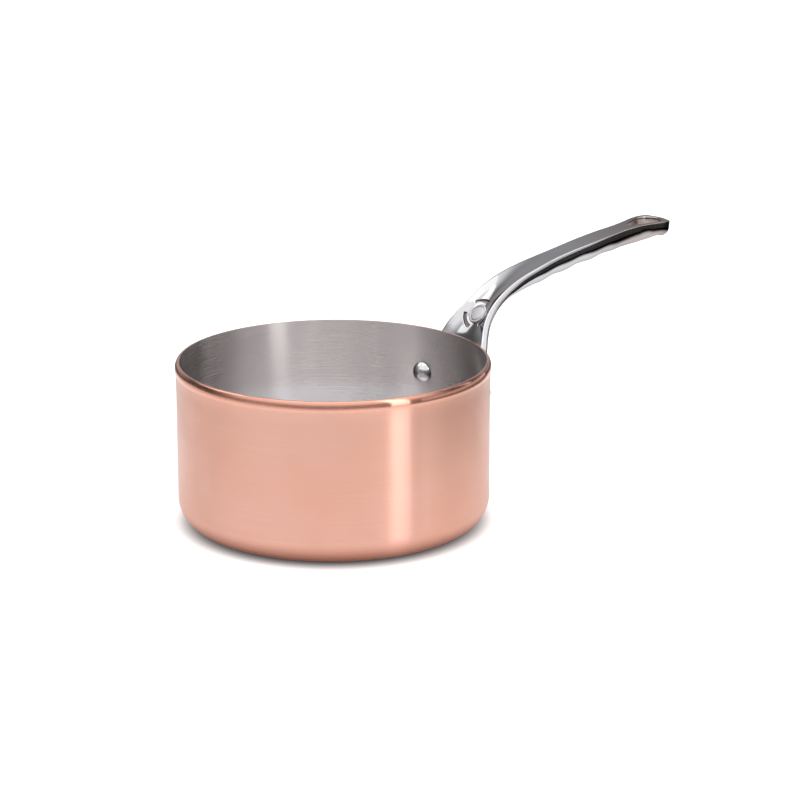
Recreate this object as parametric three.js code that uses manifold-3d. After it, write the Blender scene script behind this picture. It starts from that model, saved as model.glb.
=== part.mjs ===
// A round copper saucepan with a thin steel lining and one long cast steel handle held by two rivets.
// Millimetres, Z up, handle along +X, origin on the pan's axis at the plane it stands on.
import * as THREE from "three";
import Module from "manifold-3d";

const wasm = await Module();
wasm.setup();
const { Manifold, Mesh: SolidMesh } = wasm;

// pan
const TURN_STEPS = 72;
const CORNER_STEPS = 7;
const FLARE_STEPS = 4;
const LIP_STEPS = 6;
const PAN_HEIGHT = 98;
const WALL_OUT = 92;
const WALL_IN = 90;
const LINING = 0.2;
const BOND_GAP = 0.02;
const CORNER_OUT = 16;
const LIP_OUT = 92.66;
const LIP_FOOT = 84;
const LIP_ROUND = 2;
const LIP_TALL = 4.6;
const FLARE_POWER = 2.4;
const LINING_BELOW_RIM = 0.05;

// handle plate, rivets
const PLATE_FIT = 0.3;
const PLATE_IN = WALL_OUT + PLATE_FIT;
const PLATE_THICK = 4.7;
const RIVET_SPREAD = 18.1;
const RIVET_Z = 69.5;
const RIVET_HOLE_R = 3.3;
const RIVET_SHANK_R = 3;
const RIVET_HEAD_R = 6.4;
const RIVET_HEAD_H = 3.5;
const RIVET_TAIL_R = 4.6;
const RIVET_TAIL_H = 1.4;
const RIVET_TAIL_GAP = 0.3;
const RIVET_TAIL_EDGE = 0.9;
const RIVET_TAIL_SHOULDER = 0.7;
const RIVET_HEAD_SINK = 0.75;
const RIVET_STEPS = 28;
const RIVET_HEAD_STEPS = 6;
const RIVET_HOLE_LONG = 30;

// plain boss and the equal arc recesses around it, evenly spaced
const BOSS = { x: 107.4, z: 108.5, slope: 48 };
const BOSS_R = 6.4;
const BOSS_RISE = 1.15;
const BOSS_ROOT = 3;
const BOSS_TAPER = 0.3;
const BOSS_STEPS = 36;
const BOSS_GROOVE_IN = 4.7;
const BOSS_GROOVE_OUT = 5.3;
const BOSS_GROOVE_DEPTH = 0.5;
const RECESS_COUNT = 3;
const RECESS_FIRST = 285;
const RECESS_SPAN = 66;
const RECESS_RADIUS = 9.4;
const RECESS_WIDTH = 2.2;
const RECESS_FLOOR = -1.3;
const RECESS_STEPS = 10;
const RECESS_CUT = 8;

// hanging eye
const EYE_ROUND_X = 241.8;
const EYE_ROUND_R = 8.1;
const EYE_POINT_X = 227.2;
const EYE_POINT_R = 2.2;
const EYE_STEPS = 16;
const EYE_CUT_FROM = 120;
const EYE_CUT = 50;

// fingers' waves under the grip
const WAVE_HEIGHT = 0.45;
const WAVE_PITCH = 20.7;
const WAVE_FIRST = 149;
const WAVE_FROM = 140;
const WAVE_TO = 214;
const WAVE_FADE = 8;

// The handle's upper face from the foot of the plate to the tip. Each station holds:
// reach, height: middle of the upper face; half: half width between the two creases; dish: how far the
// middle lies below the creases; strip: drop of the slanted strip under each crease; side: upright side
// below the strip; depth: creases to the lowest point; belly: 1 for a plate, 2 for a round underside.
const STATIONS = [
  [92.3, 56, 21.5, 2.6, 2.6, 1.6, 7.6, 1],
  [92.3, 57.6, 27.4, 4.3, 2.6, 1.6, 9.3, 1],
  [92.3, 61.5, 31.8, 5.8, 2.6, 1.6, 10.8, 1],
  [92.3, 68, 33.4, 6.5, 2.6, 1.6, 11.5, 1],
  [92.3, 75, 31.4, 5.7, 2.7, 1.6, 10.7, 1],
  [92.5, 82, 27.2, 4.2, 2.8, 1.8, 9.2, 1],
  [94.1, 88.8, 22.9, 3.0, 3.0, 1.8, 8.1, 1],
  [97.0, 94.9, 19.8, 2.8, 3.0, 1.6, 7.8, 1.05],
  [100.3, 99.9, 17.4, 3.7, 3.0, 1.6, 8.2, 1.15],
  [104.9, 105.8, 14.5, 4.2, 3.0, 1.5, 7.5, 1.35],
  [111.2, 113.1, 12.1, 3.6, 2.8, 1.5, 7.6, 1.6],
  [118.8, 120.1, 11.2, 2.5, 2.5, 1.7, 8.0, 1.8],
  [126.6, 125.4, 10.6, 1.5, 2.2, 2.0, 10.1, 1.9],
  [135.6, 129.4, 10.0, 1.0, 1.7, 2.0, 11.3, 2],
  [148.6, 133.5, 9.2, 0.6, 1.4, 2.0, 12.2, 2],
  [161.5, 136.9, 8.0, 0.3, 1.2, 2.1, 12.5, 2],
  [175, 139.8, 7.7, 0.15, 1.0, 2.2, 12.4, 2],
  [190, 142.6, 8.0, 0.1, 0.7, 2.4, 12.2, 2],
  [205, 145.1, 7.7, 0.1, 0.3, 2.4, 12.1, 2],
  [218, 147.0, 7.1, 0.1, 0.3, 2.4, 12.1, 2],
  [228, 148.2, 8.2, 0.1, 0.3, 2.4, 12.3, 2],
  [237, 149.0, 10.5, 0.1, 0.3, 2.4, 12.5, 2],
  [245, 149.3, 11.3, 0.1, 0.3, 2.4, 11.8, 2],
  [250.6, 149.5, 9.9, 0.1, 0.3, 2.4, 11.2, 2],
  [254, 149.4, 7.0, 0.1, 0.3, 2.4, 10.4, 2],
  [255.5, 149.3, 3.2, 0.1, 0.3, 2.4, 9.2, 2],
];
const STRIP_SLANT = 0.45;
const SPINE_STEPS = 62;
const FACE_STEPS = 8;
const BELLY_STEPS = 10;

const WELD_PER_MM = 1e4;

const rad = THREE.MathUtils.degToRad;

// --- materials ---
function copperMaterial() {
  return new THREE.MeshStandardMaterial({ color: 0xdc9c84, metalness: 1, roughness: 0.28 });
}

function liningMaterial() {
  return new THREE.MeshStandardMaterial({ color: 0xb9b5b4, metalness: 1, roughness: 0.38 });
}

function handleMaterial() {
  return new THREE.MeshStandardMaterial({ color: 0xc4c2c6, metalness: 1, roughness: 0.16 });
}

function rivetMaterial() {
  return new THREE.MeshStandardMaterial({ color: 0xc8c6c8, metalness: 1, roughness: 0.14 });
}

// --- solids ---
function toSolid(geometry) {
  const plain = geometry.clone();
  plain.deleteAttribute("normal");
  plain.deleteAttribute("uv");
  const welded = mergeClose(plain);
  return new Manifold(new SolidMesh({
    numProp: 3,
    vertProperties: new Float32Array(welded.points),
    triVerts: new Uint32Array(welded.faces),
  }));
}

function mergeClose(geometry) {
  const position = geometry.getAttribute("position");
  const index = geometry.index ? geometry.index.array : [...Array(position.count).keys()];
  const seen = new Map();
  const points = [];
  const remap = [];
  for (let i = 0; i < position.count; i += 1) {
    const p = [position.getX(i), position.getY(i), position.getZ(i)];
    const key = p.map((v) => Math.round(v * WELD_PER_MM)).join(" ");
    if (!seen.has(key)) {
      seen.set(key, points.length / 3);
      points.push(...p);
    }
    remap.push(seen.get(key));
  }
  const faces = [];
  for (let i = 0; i < index.length; i += 3) {
    const [a, b, c] = [remap[index[i]], remap[index[i + 1]], remap[index[i + 2]]];
    if (a !== b && b !== c && c !== a) faces.push(a, b, c);
  }
  return { points, faces };
}

function toGeometry(solid) {
  const mesh = solid.getMesh();
  const points = new Float32Array((mesh.vertProperties.length / mesh.numProp) * 3);
  for (let i = 0; i < points.length / 3; i += 1) {
    for (let k = 0; k < 3; k += 1) points[i * 3 + k] = mesh.vertProperties[i * mesh.numProp + k];
  }
  const geometry = new THREE.BufferGeometry();
  geometry.setAttribute("position", new THREE.BufferAttribute(points, 3));
  geometry.setIndex([...mesh.triVerts]);
  geometry.computeVertexNormals();
  return geometry;
}

function named(name, geometry, material) {
  const mesh = new THREE.Mesh(geometry, material);
  mesh.name = name;
  return mesh;
}

// --- turned shapes ---
function arcPoints(cx, cz, radius, fromDeg, toDeg, steps) {
  const points = [];
  for (let i = 0; i <= steps; i += 1) {
    const a = rad(fromDeg + ((toDeg - fromDeg) * i) / steps);
    points.push(new THREE.Vector2(cx + radius * Math.cos(a), cz + radius * Math.sin(a)));
  }
  return points;
}

function turned(profile, steps = TURN_STEPS) {
  const geometry = new THREE.LatheGeometry(profile, steps);
  geometry.rotateX(Math.PI / 2);
  return geometry;
}

// the outer wall leans out ever faster from the flare's foot up to the rim's rounding
function flarePoints(steps) {
  const rise = PAN_HEIGHT - LIP_TALL - LIP_FOOT;
  return [...Array(steps).keys()].map((i) => new THREE.Vector2(
    WALL_OUT + (LIP_OUT - WALL_OUT) * (i / steps) ** FLARE_POWER,
    LIP_FOOT + (rise * i) / steps,
  ));
}

function bodyProfile() {
  const inner = WALL_IN + LINING + BOND_GAP;
  const floor = WALL_OUT - inner;
  const innerCorner = CORNER_OUT - floor;
  return [
    new THREE.Vector2(0, 0),
    ...arcPoints(WALL_OUT - CORNER_OUT, CORNER_OUT, CORNER_OUT, -90, 0, CORNER_STEPS),
    ...flarePoints(FLARE_STEPS),
    ...arcPoints(0, 0, 1, 0, 90, LIP_STEPS).map((p) => new THREE.Vector2(
      LIP_OUT - LIP_ROUND + LIP_ROUND * p.x,
      PAN_HEIGHT - LIP_TALL + LIP_TALL * p.y,
    )),
    new THREE.Vector2(inner, PAN_HEIGHT),
    ...arcPoints(inner - innerCorner, floor + innerCorner, innerCorner, 0, -90, CORNER_STEPS),
    new THREE.Vector2(0, floor),
  ];
}

function liningProfile() {
  const outer = WALL_IN + LINING;
  const top = WALL_OUT - outer;
  const outCorner = CORNER_OUT - top;
  const inCorner = outCorner - LINING;
  return [
    new THREE.Vector2(0, top),
    ...arcPoints(outer - outCorner, top + outCorner, outCorner, -90, 0, CORNER_STEPS),
    new THREE.Vector2(outer, PAN_HEIGHT - LINING_BELOW_RIM),
    new THREE.Vector2(WALL_IN, PAN_HEIGHT - LINING_BELOW_RIM),
    ...arcPoints(WALL_IN - inCorner, top + LINING + inCorner, inCorner, 0, -90, CORNER_STEPS),
    new THREE.Vector2(0, top + LINING),
  ];
}

// --- rivets ---
function atRivet(geometry, side) {
  // the shape's own +Z points out of the pan, its zero is on the pan's axis
  geometry.rotateY(Math.PI / 2);
  geometry.rotateZ(rad(side * RIVET_SPREAD));
  geometry.translate(0, 0, RIVET_Z);
  return geometry;
}

function rivetShape(side) {
  const headFoot = WALL_IN - RIVET_HEAD_SINK;
  const tailFoot = PLATE_IN + PLATE_THICK + RIVET_TAIL_GAP;
  const headBall = (RIVET_HEAD_R ** 2 + RIVET_HEAD_H ** 2) / (2 * RIVET_HEAD_H);
  const headSpan = (Math.asin(RIVET_HEAD_R / headBall) * 180) / Math.PI;
  const headMiddle = headFoot - RIVET_HEAD_H + headBall;
  const head = arcPoints(0, headMiddle, headBall, -90, -90 + headSpan, RIVET_HEAD_STEPS);
  const profile = [
    ...head.slice(0, -1),
    new THREE.Vector2(RIVET_HEAD_R, headFoot),
    new THREE.Vector2(RIVET_SHANK_R, headFoot),
    new THREE.Vector2(RIVET_SHANK_R, tailFoot),
    new THREE.Vector2(RIVET_TAIL_R, tailFoot),
    new THREE.Vector2(RIVET_TAIL_R - RIVET_TAIL_EDGE, tailFoot + RIVET_TAIL_H * RIVET_TAIL_SHOULDER),
    new THREE.Vector2(0, tailFoot + RIVET_TAIL_H),
  ];
  profile[0].x = 0;
  return atRivet(turned(profile, RIVET_STEPS), side);
}

function rivetHole(side) {
  const cutter = new THREE.CylinderGeometry(RIVET_HOLE_R, RIVET_HOLE_R, RIVET_HOLE_LONG, RIVET_STEPS);
  cutter.rotateX(Math.PI / 2);
  cutter.translate(0, 0, WALL_OUT);
  return toSolid(atRivet(cutter, side));
}

function withRivetHoles(solid) {
  return [-1, 1].reduce((cut, side) => cut.subtract(rivetHole(side)), solid);
}

// --- handle ---
function waveAt(reach) {
  if (reach < WAVE_FROM || reach > WAVE_TO) return 0;
  const fade = Math.min(1, (reach - WAVE_FROM) / WAVE_FADE, (WAVE_TO - reach) / WAVE_FADE);
  return fade * WAVE_HEIGHT * Math.cos((2 * Math.PI * (reach - WAVE_FIRST)) / WAVE_PITCH);
}

// three curves through the stations share one parameter, so every size varies smoothly together
function stationCurves() {
  const column = (a, b, c) => new THREE.CatmullRomCurve3(
    STATIONS.map((row) => new THREE.Vector3(row[a], row[b], c === null ? 0 : row[c])),
    false, "catmullrom", 0.5,
  );
  return { line: column(0, 1, null), face: column(2, 3, 4), under: column(5, 6, 7) };
}

function sectionAt(curves, u) {
  const middle = curves.line.getPoint(u);
  const ahead = curves.line.getTangent(u);
  const along = new THREE.Vector2(ahead.x, ahead.y).normalize();
  const face = curves.face.getPoint(u);
  const under = curves.under.getPoint(u);
  return {
    reach: middle.x,
    height: middle.y,
    normal: new THREE.Vector2(-along.y, along.x),
    half: face.x,
    dish: face.y,
    strip: face.z,
    side: under.x,
    depth: under.y + waveAt(middle.x),
    belly: under.z,
  };
}

// one cross-section as [sideways, above the middle of the upper face] pairs, from the far crease round
function sectionOutline(section) {
  const { half, dish, strip, side, depth, belly } = section;
  const outer = half + strip * STRIP_SLANT;
  const sideFoot = dish - strip - side;
  const drop = depth - strip - side;
  const points = [];
  for (let i = 0; i <= FACE_STEPS; i += 1) {
    const t = 1 - (2 * i) / FACE_STEPS;
    points.push([half * t, dish * t * t]);
  }
  points.push([-outer, dish - strip]);
  for (let i = 0; i <= BELLY_STEPS; i += 1) {
    const t = -Math.cos((Math.PI * i) / BELLY_STEPS);
    points.push([outer * t, sideFoot - drop * Math.max(0, 1 - t * t) ** (1 / belly)]);
  }
  points.push([outer, dish - strip]);
  return points;
}

function handleLoft() {
  const curves = stationCurves();
  const rings = [];
  for (let i = 0; i <= SPINE_STEPS; i += 1) {
    const section = sectionAt(curves, i / SPINE_STEPS);
    rings.push(sectionOutline(section).map(([y, n]) => [
      section.reach + section.normal.x * n,
      y,
      section.height + section.normal.y * n,
    ]));
  }
  const count = rings[0].length;
  const positions = rings.flat(2);
  const faces = [];
  for (let i = 0; i < SPINE_STEPS; i += 1) {
    for (let j = 0; j < count; j += 1) {
      const k = (j + 1) % count;
      const [a, b, c, d] = [i * count + j, i * count + k, (i + 1) * count + k, (i + 1) * count + j];
      faces.push(a, b, c, a, c, d);
    }
  }
  const outline = sectionOutline(sectionAt(curves, 0)).map(([y, n]) => new THREE.Vector2(y, n));
  const lid = THREE.ShapeUtils.triangulateShape(outline, []);
  const tip = sectionOutline(sectionAt(curves, 1)).map(([y, n]) => new THREE.Vector2(y, n));
  const tipLid = THREE.ShapeUtils.triangulateShape(tip, []);
  const last = SPINE_STEPS * count;
  lid.forEach(([a, b, c]) => faces.push(c, b, a));
  tipLid.forEach(([a, b, c]) => faces.push(last + a, last + b, last + c));
  const geometry = new THREE.BufferGeometry();
  geometry.setAttribute("position", new THREE.Float32BufferAttribute(positions, 3));
  geometry.setIndex(faces);
  return geometry;
}

function atBoss(geometry) {
  // the shape's own +Z leaves the plate at the boss
  geometry.rotateZ(Math.PI / 2);
  geometry.rotateY(rad(-BOSS.slope));
  geometry.translate(BOSS.x, 0, BOSS.z);
  return geometry;
}

function ringShape(inner, outer, fromDeg, spanDeg) {
  const shape = new THREE.Shape();
  shape.absarc(0, 0, outer, rad(fromDeg), rad(fromDeg + spanDeg), false);
  shape.absarc(0, 0, inner, rad(fromDeg + spanDeg), rad(fromDeg), true);
  shape.closePath();
  return shape;
}

function bossSolid() {
  const disc = new THREE.CylinderGeometry(BOSS_R - BOSS_TAPER, BOSS_R, BOSS_RISE + BOSS_ROOT, BOSS_STEPS);
  disc.rotateX(Math.PI / 2);
  disc.translate(0, 0, (BOSS_RISE - BOSS_ROOT) / 2);
  return toSolid(atBoss(disc));
}

function grooveCutter() {
  const outer = new THREE.CylinderGeometry(BOSS_GROOVE_OUT, BOSS_GROOVE_OUT, 4, BOSS_STEPS);
  const inner = new THREE.CylinderGeometry(BOSS_GROOVE_IN, BOSS_GROOVE_IN, 6, BOSS_STEPS);
  [outer, inner].forEach((g) => g.rotateX(Math.PI / 2));
  outer.translate(0, 0, BOSS_RISE - BOSS_GROOVE_DEPTH + 2);
  inner.translate(0, 0, BOSS_RISE - BOSS_GROOVE_DEPTH + 2);
  return toSolid(atBoss(outer)).subtract(toSolid(atBoss(inner)));
}

function recessCutter(index) {
  const reach = RECESS_WIDTH / 2;
  const from = RECESS_FIRST + (360 * index) / RECESS_COUNT - RECESS_SPAN / 2;
  const shape = ringShape(RECESS_RADIUS - reach, RECESS_RADIUS + reach, from, RECESS_SPAN);
  const geometry = new THREE.ExtrudeGeometry(shape, {
    depth: RECESS_CUT, bevelEnabled: false, curveSegments: RECESS_STEPS,
  });
  geometry.translate(0, 0, RECESS_FLOOR);
  return toSolid(atBoss(geometry));
}

function eyeCutter() {
  // two circles and the lines touching both
  const gap = EYE_ROUND_X - EYE_POINT_X;
  const lean = (Math.acos((EYE_ROUND_R - EYE_POINT_R) / gap) * 180) / Math.PI;
  const shape = new THREE.Shape();
  shape.absarc(EYE_ROUND_X, 0, EYE_ROUND_R, -rad(180 - lean), rad(180 - lean), false);
  shape.absarc(EYE_POINT_X, 0, EYE_POINT_R, rad(180 - lean), rad(180 + lean), false);
  shape.closePath();
  const geometry = new THREE.ExtrudeGeometry(shape, {
    depth: EYE_CUT, bevelEnabled: false, curveSegments: EYE_STEPS,
  });
  geometry.translate(0, 0, EYE_CUT_FROM);
  return toSolid(geometry);
}

function handleSolid() {
  let solid = toSolid(handleLoft()).add(bossSolid()).subtract(grooveCutter());
  for (let i = 0; i < RECESS_COUNT; i += 1) solid = solid.subtract(recessCutter(i));
  return withRivetHoles(solid.subtract(eyeCutter()));
}

// --- parts ---
function buildPan() {
  const group = new THREE.Group();
  const body = withRivetHoles(toSolid(turned(bodyProfile())));
  const lining = withRivetHoles(toSolid(turned(liningProfile())));
  group.add(named("copper_body", toGeometry(body), copperMaterial()));
  group.add(named("steel_lining", toGeometry(lining), liningMaterial()));
  group.add(named("handle", toGeometry(handleSolid()), handleMaterial()));
  group.add(named("rivet_left", toGeometry(toSolid(rivetShape(1))), rivetMaterial()));
  group.add(named("rivet_right", toGeometry(toSolid(rivetShape(-1))), rivetMaterial()));
  return group;
}

export default buildPan();
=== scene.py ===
# A polished copper saucepan with a satin steel lining and a long cast steel handle, on a white table.
# Shapes are worked out in millimetres in the frame's axes: Z up, handle along +X, origin under the
# pan's centre.
import math

import bpy
import numpy as np
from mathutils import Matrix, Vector
from mathutils.bvhtree import BVHTree


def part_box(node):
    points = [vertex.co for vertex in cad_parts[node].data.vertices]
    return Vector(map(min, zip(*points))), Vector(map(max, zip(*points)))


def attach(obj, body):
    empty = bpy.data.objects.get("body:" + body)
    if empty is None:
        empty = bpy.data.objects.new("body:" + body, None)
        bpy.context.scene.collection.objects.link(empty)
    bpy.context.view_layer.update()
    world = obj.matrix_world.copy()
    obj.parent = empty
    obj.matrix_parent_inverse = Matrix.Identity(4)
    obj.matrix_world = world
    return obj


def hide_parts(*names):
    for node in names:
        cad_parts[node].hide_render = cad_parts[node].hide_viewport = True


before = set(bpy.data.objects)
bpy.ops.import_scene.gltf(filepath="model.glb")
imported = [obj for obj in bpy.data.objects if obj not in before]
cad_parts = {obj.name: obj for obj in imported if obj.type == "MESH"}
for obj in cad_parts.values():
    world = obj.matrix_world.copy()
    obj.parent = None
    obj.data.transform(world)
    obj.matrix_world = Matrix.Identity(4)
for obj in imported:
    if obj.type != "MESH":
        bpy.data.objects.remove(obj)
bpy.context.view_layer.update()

MM = 0.001
WHOLE = "root"

# --- driving sizes, from the frame ---
COPPER_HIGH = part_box("copper_body")[1]
LINING_LOW, LINING_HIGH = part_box("steel_lining")
LIP_R = COPPER_HIGH.x / MM
RIM_Z = COPPER_HIGH.z / MM
LINING_R = LINING_HIGH.x / MM
LINING_FLOOR = LINING_LOW.z / MM
LINING_TOP = LINING_HIGH.z / MM

# --- pan ---
TURN_STEPS = 384
WALL_R = 92.0
WALL_STEPS = 8
CORNER_R = 16.0
CORNER_STEPS = 24
LIP_FOOT = 84.0
LIP_ROUND = 2.0
LIP_TALL = 4.6
LIP_STEPS = 18
FLARE_POWER = 2.4
FLARE_STEPS = 14
INNER_EDGE = 0.15
INNER_EDGE_STEPS = 4
BOND_GAP = 0.02
LINING_THICK = 0.2
BASE_HOLLOW = 0.3
BASE_RING_R = 66.0
BASE_STEPS = 11

# --- rivets ---
HEAD_R = 6.4
HEAD_H = 3.5
HEAD_SINK = 0.75
HEAD_STEPS = 20
SHANK_R = 3.0
HOLE_R = 3.3
HOLE_FROM = 70.0
HOLE_TO = 112.0
HOLE_STEPS = 64
TAIL_R = 4.6
TAIL_H = 1.4
TAIL_GAP = -0.3
TAIL_STEPS = 12
RIVET_STEPS = 96
PLATE_FIT = 0.3
PLATE_THICK = 4.7

# --- plain boss on the plate and the equal arc recesses round it ---
BOSS_REACH = 107.4
BOSS_HEIGHT = 108.5
BOSS_SLOPE = math.radians(48)
BOSS_R = 6.4
BOSS_RISE = 1.15
BOSS_ROOT = -2.6
BOSS_SKIRT = 0.15
BOSS_EDGE = 0.4
BOSS_EDGE_STEPS = 5
BOSS_DOME = 0.25
DOME_MARGIN = 0.15
DOME_STEPS = 8
BOSS_STEPS = 128
GROOVE_IN = 4.7
GROOVE_OUT = 5.3
GROOVE_DEPTH = 0.45
GROOVE_BREAK = 0.12
# how far from the groove's edges its walls begin to bend, are half bent and meet the bed
GROOVE_LEAN = 0.02
GROOVE_BEND = 0.1
GROOVE_FOOT = 0.22
RECESS_COUNT = 3
RECESS_FIRST = 285
RECESS_HALF_SPAN = math.radians(33)
RECESS_RADIUS = 9.4
RECESS_WIDTH = 2.2
RECESS_DEPTH = 1.2
RECESS_CORNER = 0.75
RECESS_CORNER_STEPS = 6
RECESS_STEPS = 32
RECESS_ABOVE = 12.0
# the recess's rounded foot: how far each ring is drawn in, and how far it lies above the bed
RECESS_FOOT = ((0.35, 0), (0.1, 0.08), (0, 0.35))
MOUTH_ROUND = 0.5
MOUTH_EXIT = 1.5
MOUTH_CLEAR = 15.0
MOUTH_BEND = 0.8
MOUTH_STEPS = 4

# --- hanging eye ---
EYE_ROUND_X = 241.8
EYE_ROUND_R = 8.1
EYE_POINT_X = 227.2
EYE_POINT_R = 2.2
EYE_MOUTH = 0.9
EYE_ABOVE = 200.0
EYE_BELOW = 60.0
EYE_ROUND_STEPS = 80
EYE_POINT_STEPS = 16
EYE_SIDE_STEPS = 11

# --- finger waves under the grip ---
WAVE_HEIGHT = 0.45
WAVE_PITCH = 20.7
WAVE_FIRST = 149.0
WAVE_FROM = 140.0
WAVE_TO = 214.0
WAVE_FADE = 8.0

# The handle's upper face from the foot of the plate to the tip. Each station holds:
# reach, height: middle of the upper face; half: half width between the two creases; dish: how far the
# middle lies below the creases; strip: drop of the slanted strip under each crease; side: upright side
# below the strip; depth: creases to the lowest point; belly: 1 for a plate, 2 for a round underside.
STATIONS = np.array([
    [92.3, 56, 21.5, 2.6, 2.6, 1.6, 7.6, 1],
    [92.3, 57.6, 27.4, 4.3, 2.6, 1.6, 9.3, 1],
    [92.3, 61.5, 31.8, 5.8, 2.6, 1.6, 10.8, 1],
    [92.3, 68, 33.4, 6.5, 2.6, 1.6, 11.5, 1],
    [92.3, 75, 31.4, 5.7, 2.7, 1.6, 10.7, 1],
    [92.5, 82, 27.2, 4.2, 2.8, 1.8, 9.2, 1],
    [94.1, 88.8, 22.9, 3.0, 3.0, 1.8, 8.1, 1],
    [97.0, 94.9, 19.8, 2.8, 3.0, 1.6, 7.8, 1.05],
    [100.3, 99.9, 17.4, 3.7, 3.0, 1.6, 8.2, 1.15],
    [104.9, 105.8, 14.5, 4.2, 3.0, 1.5, 7.5, 1.35],
    [111.2, 113.1, 12.1, 3.6, 2.8, 1.5, 7.6, 1.6],
    [118.8, 120.1, 11.2, 2.5, 2.5, 1.7, 8.0, 1.8],
    [126.6, 125.4, 10.6, 1.5, 2.2, 2.0, 10.1, 1.9],
    [135.6, 129.4, 10.0, 1.0, 1.7, 2.0, 11.3, 2],
    [148.6, 133.5, 9.2, 0.6, 1.4, 2.0, 12.2, 2],
    [161.5, 136.9, 8.0, 0.3, 1.2, 2.1, 12.5, 2],
    [175, 139.8, 7.7, 0.15, 1.0, 2.2, 12.4, 2],
    [190, 142.6, 8.0, 0.1, 0.7, 2.4, 12.2, 2],
    [205, 145.1, 7.7, 0.1, 0.3, 2.4, 12.1, 2],
    [218, 147.0, 7.1, 0.1, 0.3, 2.4, 12.1, 2],
    [228, 148.2, 8.2, 0.1, 0.3, 2.4, 12.3, 2],
    [237, 149.0, 10.5, 0.1, 0.3, 2.4, 12.5, 2],
    [245, 149.3, 11.3, 0.1, 0.3, 2.4, 11.8, 2],
    [250.6, 149.3, 9.9, -0.1, 0.3, 3.0, 11.1, 2.1],
    [254, 149.0, 7.1, -0.9, 0.3, 3.6, 10.2, 2.3],
    [255.4, 148.1, 3.4, -1.8, 0.3, 3.6, 8.8, 2.5],
])
STRIP_SLANT = 0.45
RINGS_PER_STATION = 16
SPINE_STEP = 1e-4
SPINE_END = 1e-9
FACE_SAMPLES = 64
UNDER_SAMPLES = 128
FACE_POINTS = 25
STRIP_POINTS = 3
SIDE_POINTS = 4
BELLY_POINTS = 49
CREASE_ROUND = 0.6
FAR_CREASE_ROUND = 1.3
STRIP_FOOT_ROUND = 0.5
SIDE_FOOT_ROUND = 1.0
MOST_ROUNDED = 0.45
BEND_STEPS = 4
END_ROUND = 0.9
TIP_ROUND = 2.9
END_STEPS = 9
SHARP_ANGLE = math.radians(40)


# --- mesh helpers ---
def add_object(name, points, faces):
    """A new object from points in millimetres and lists of corner numbers."""
    mesh = bpy.data.meshes.new(name)
    mesh.from_pydata((np.asarray(points, float) * MM).tolist(), [], faces)
    mesh.update()
    thing = bpy.data.objects.new(name, mesh)
    bpy.context.scene.collection.objects.link(thing)
    return thing


def keep_result(thing):
    """Replaces an object's mesh by what its modifiers make of it."""
    seen = thing.evaluated_get(bpy.context.evaluated_depsgraph_get())
    made = bpy.data.meshes.new_from_object(seen)
    thing.modifiers.clear()
    thing.data = made


def smooth(thing):
    """Smooth shading that keeps sharp edges sharp and flat faces flat."""
    thing.data.shade_smooth()
    thing.data.set_sharp_from_angle(angle=SHARP_ANGLE)
    weighted = thing.modifiers.new("weighted", "WEIGHTED_NORMAL")
    weighted.keep_sharp = True
    keep_result(thing)


def combine(thing, others, operation):
    """Adds the other objects to this one or cuts them from it, then deletes them."""
    for other in others:
        step = thing.modifiers.new("combine", "BOOLEAN")
        step.object = other
        step.operation = operation
        step.solver = "EXACT"
    keep_result(thing)
    for other in others:
        bpy.data.objects.remove(other)


def arc(centre_r, centre_z, radius, start, stop, steps):
    """Points (radius, height) along an arc; angles in degrees, 0 outward and 90 up."""
    angles = np.radians(np.linspace(start, stop, steps + 1))
    return [(centre_r + radius * math.cos(a), centre_z + radius * math.sin(a)) for a in angles]


def closed_body(rings, first, last):
    """Points and faces of a body through closed rings, with a middle point at each end."""
    count = len(rings[0])
    points = np.concatenate([*rings, [first], [last]])
    faces = []
    for i in range(len(rings) - 1):
        for j in range(count):
            k = (j + 1) % count
            faces.append((i * count + j, i * count + k, (i + 1) * count + k, (i + 1) * count + j))
    top = (len(rings) - 1) * count
    for j in range(count):
        k = (j + 1) % count
        faces.append((len(points) - 2, k, j))
        faces.append((len(points) - 1, top + j, top + k))
    return points, faces


def tube(rings):
    """A closed body whose ends are flat or nearly so."""
    return closed_body(rings, rings[0].mean(axis=0), rings[-1].mean(axis=0))


def turn(name, profile, steps=TURN_STEPS):
    """A closed body: an outline that starts and ends on the axis, turned round Z."""
    angles = np.arange(steps) * 2 * math.pi / steps
    rings = [[(r * math.cos(a), r * math.sin(a), z) for a in angles] for r, z in profile[1:-1]]
    return add_object(name, *closed_body(rings, (0, 0, profile[0][1]), (0, 0, profile[-1][1])))


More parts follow.
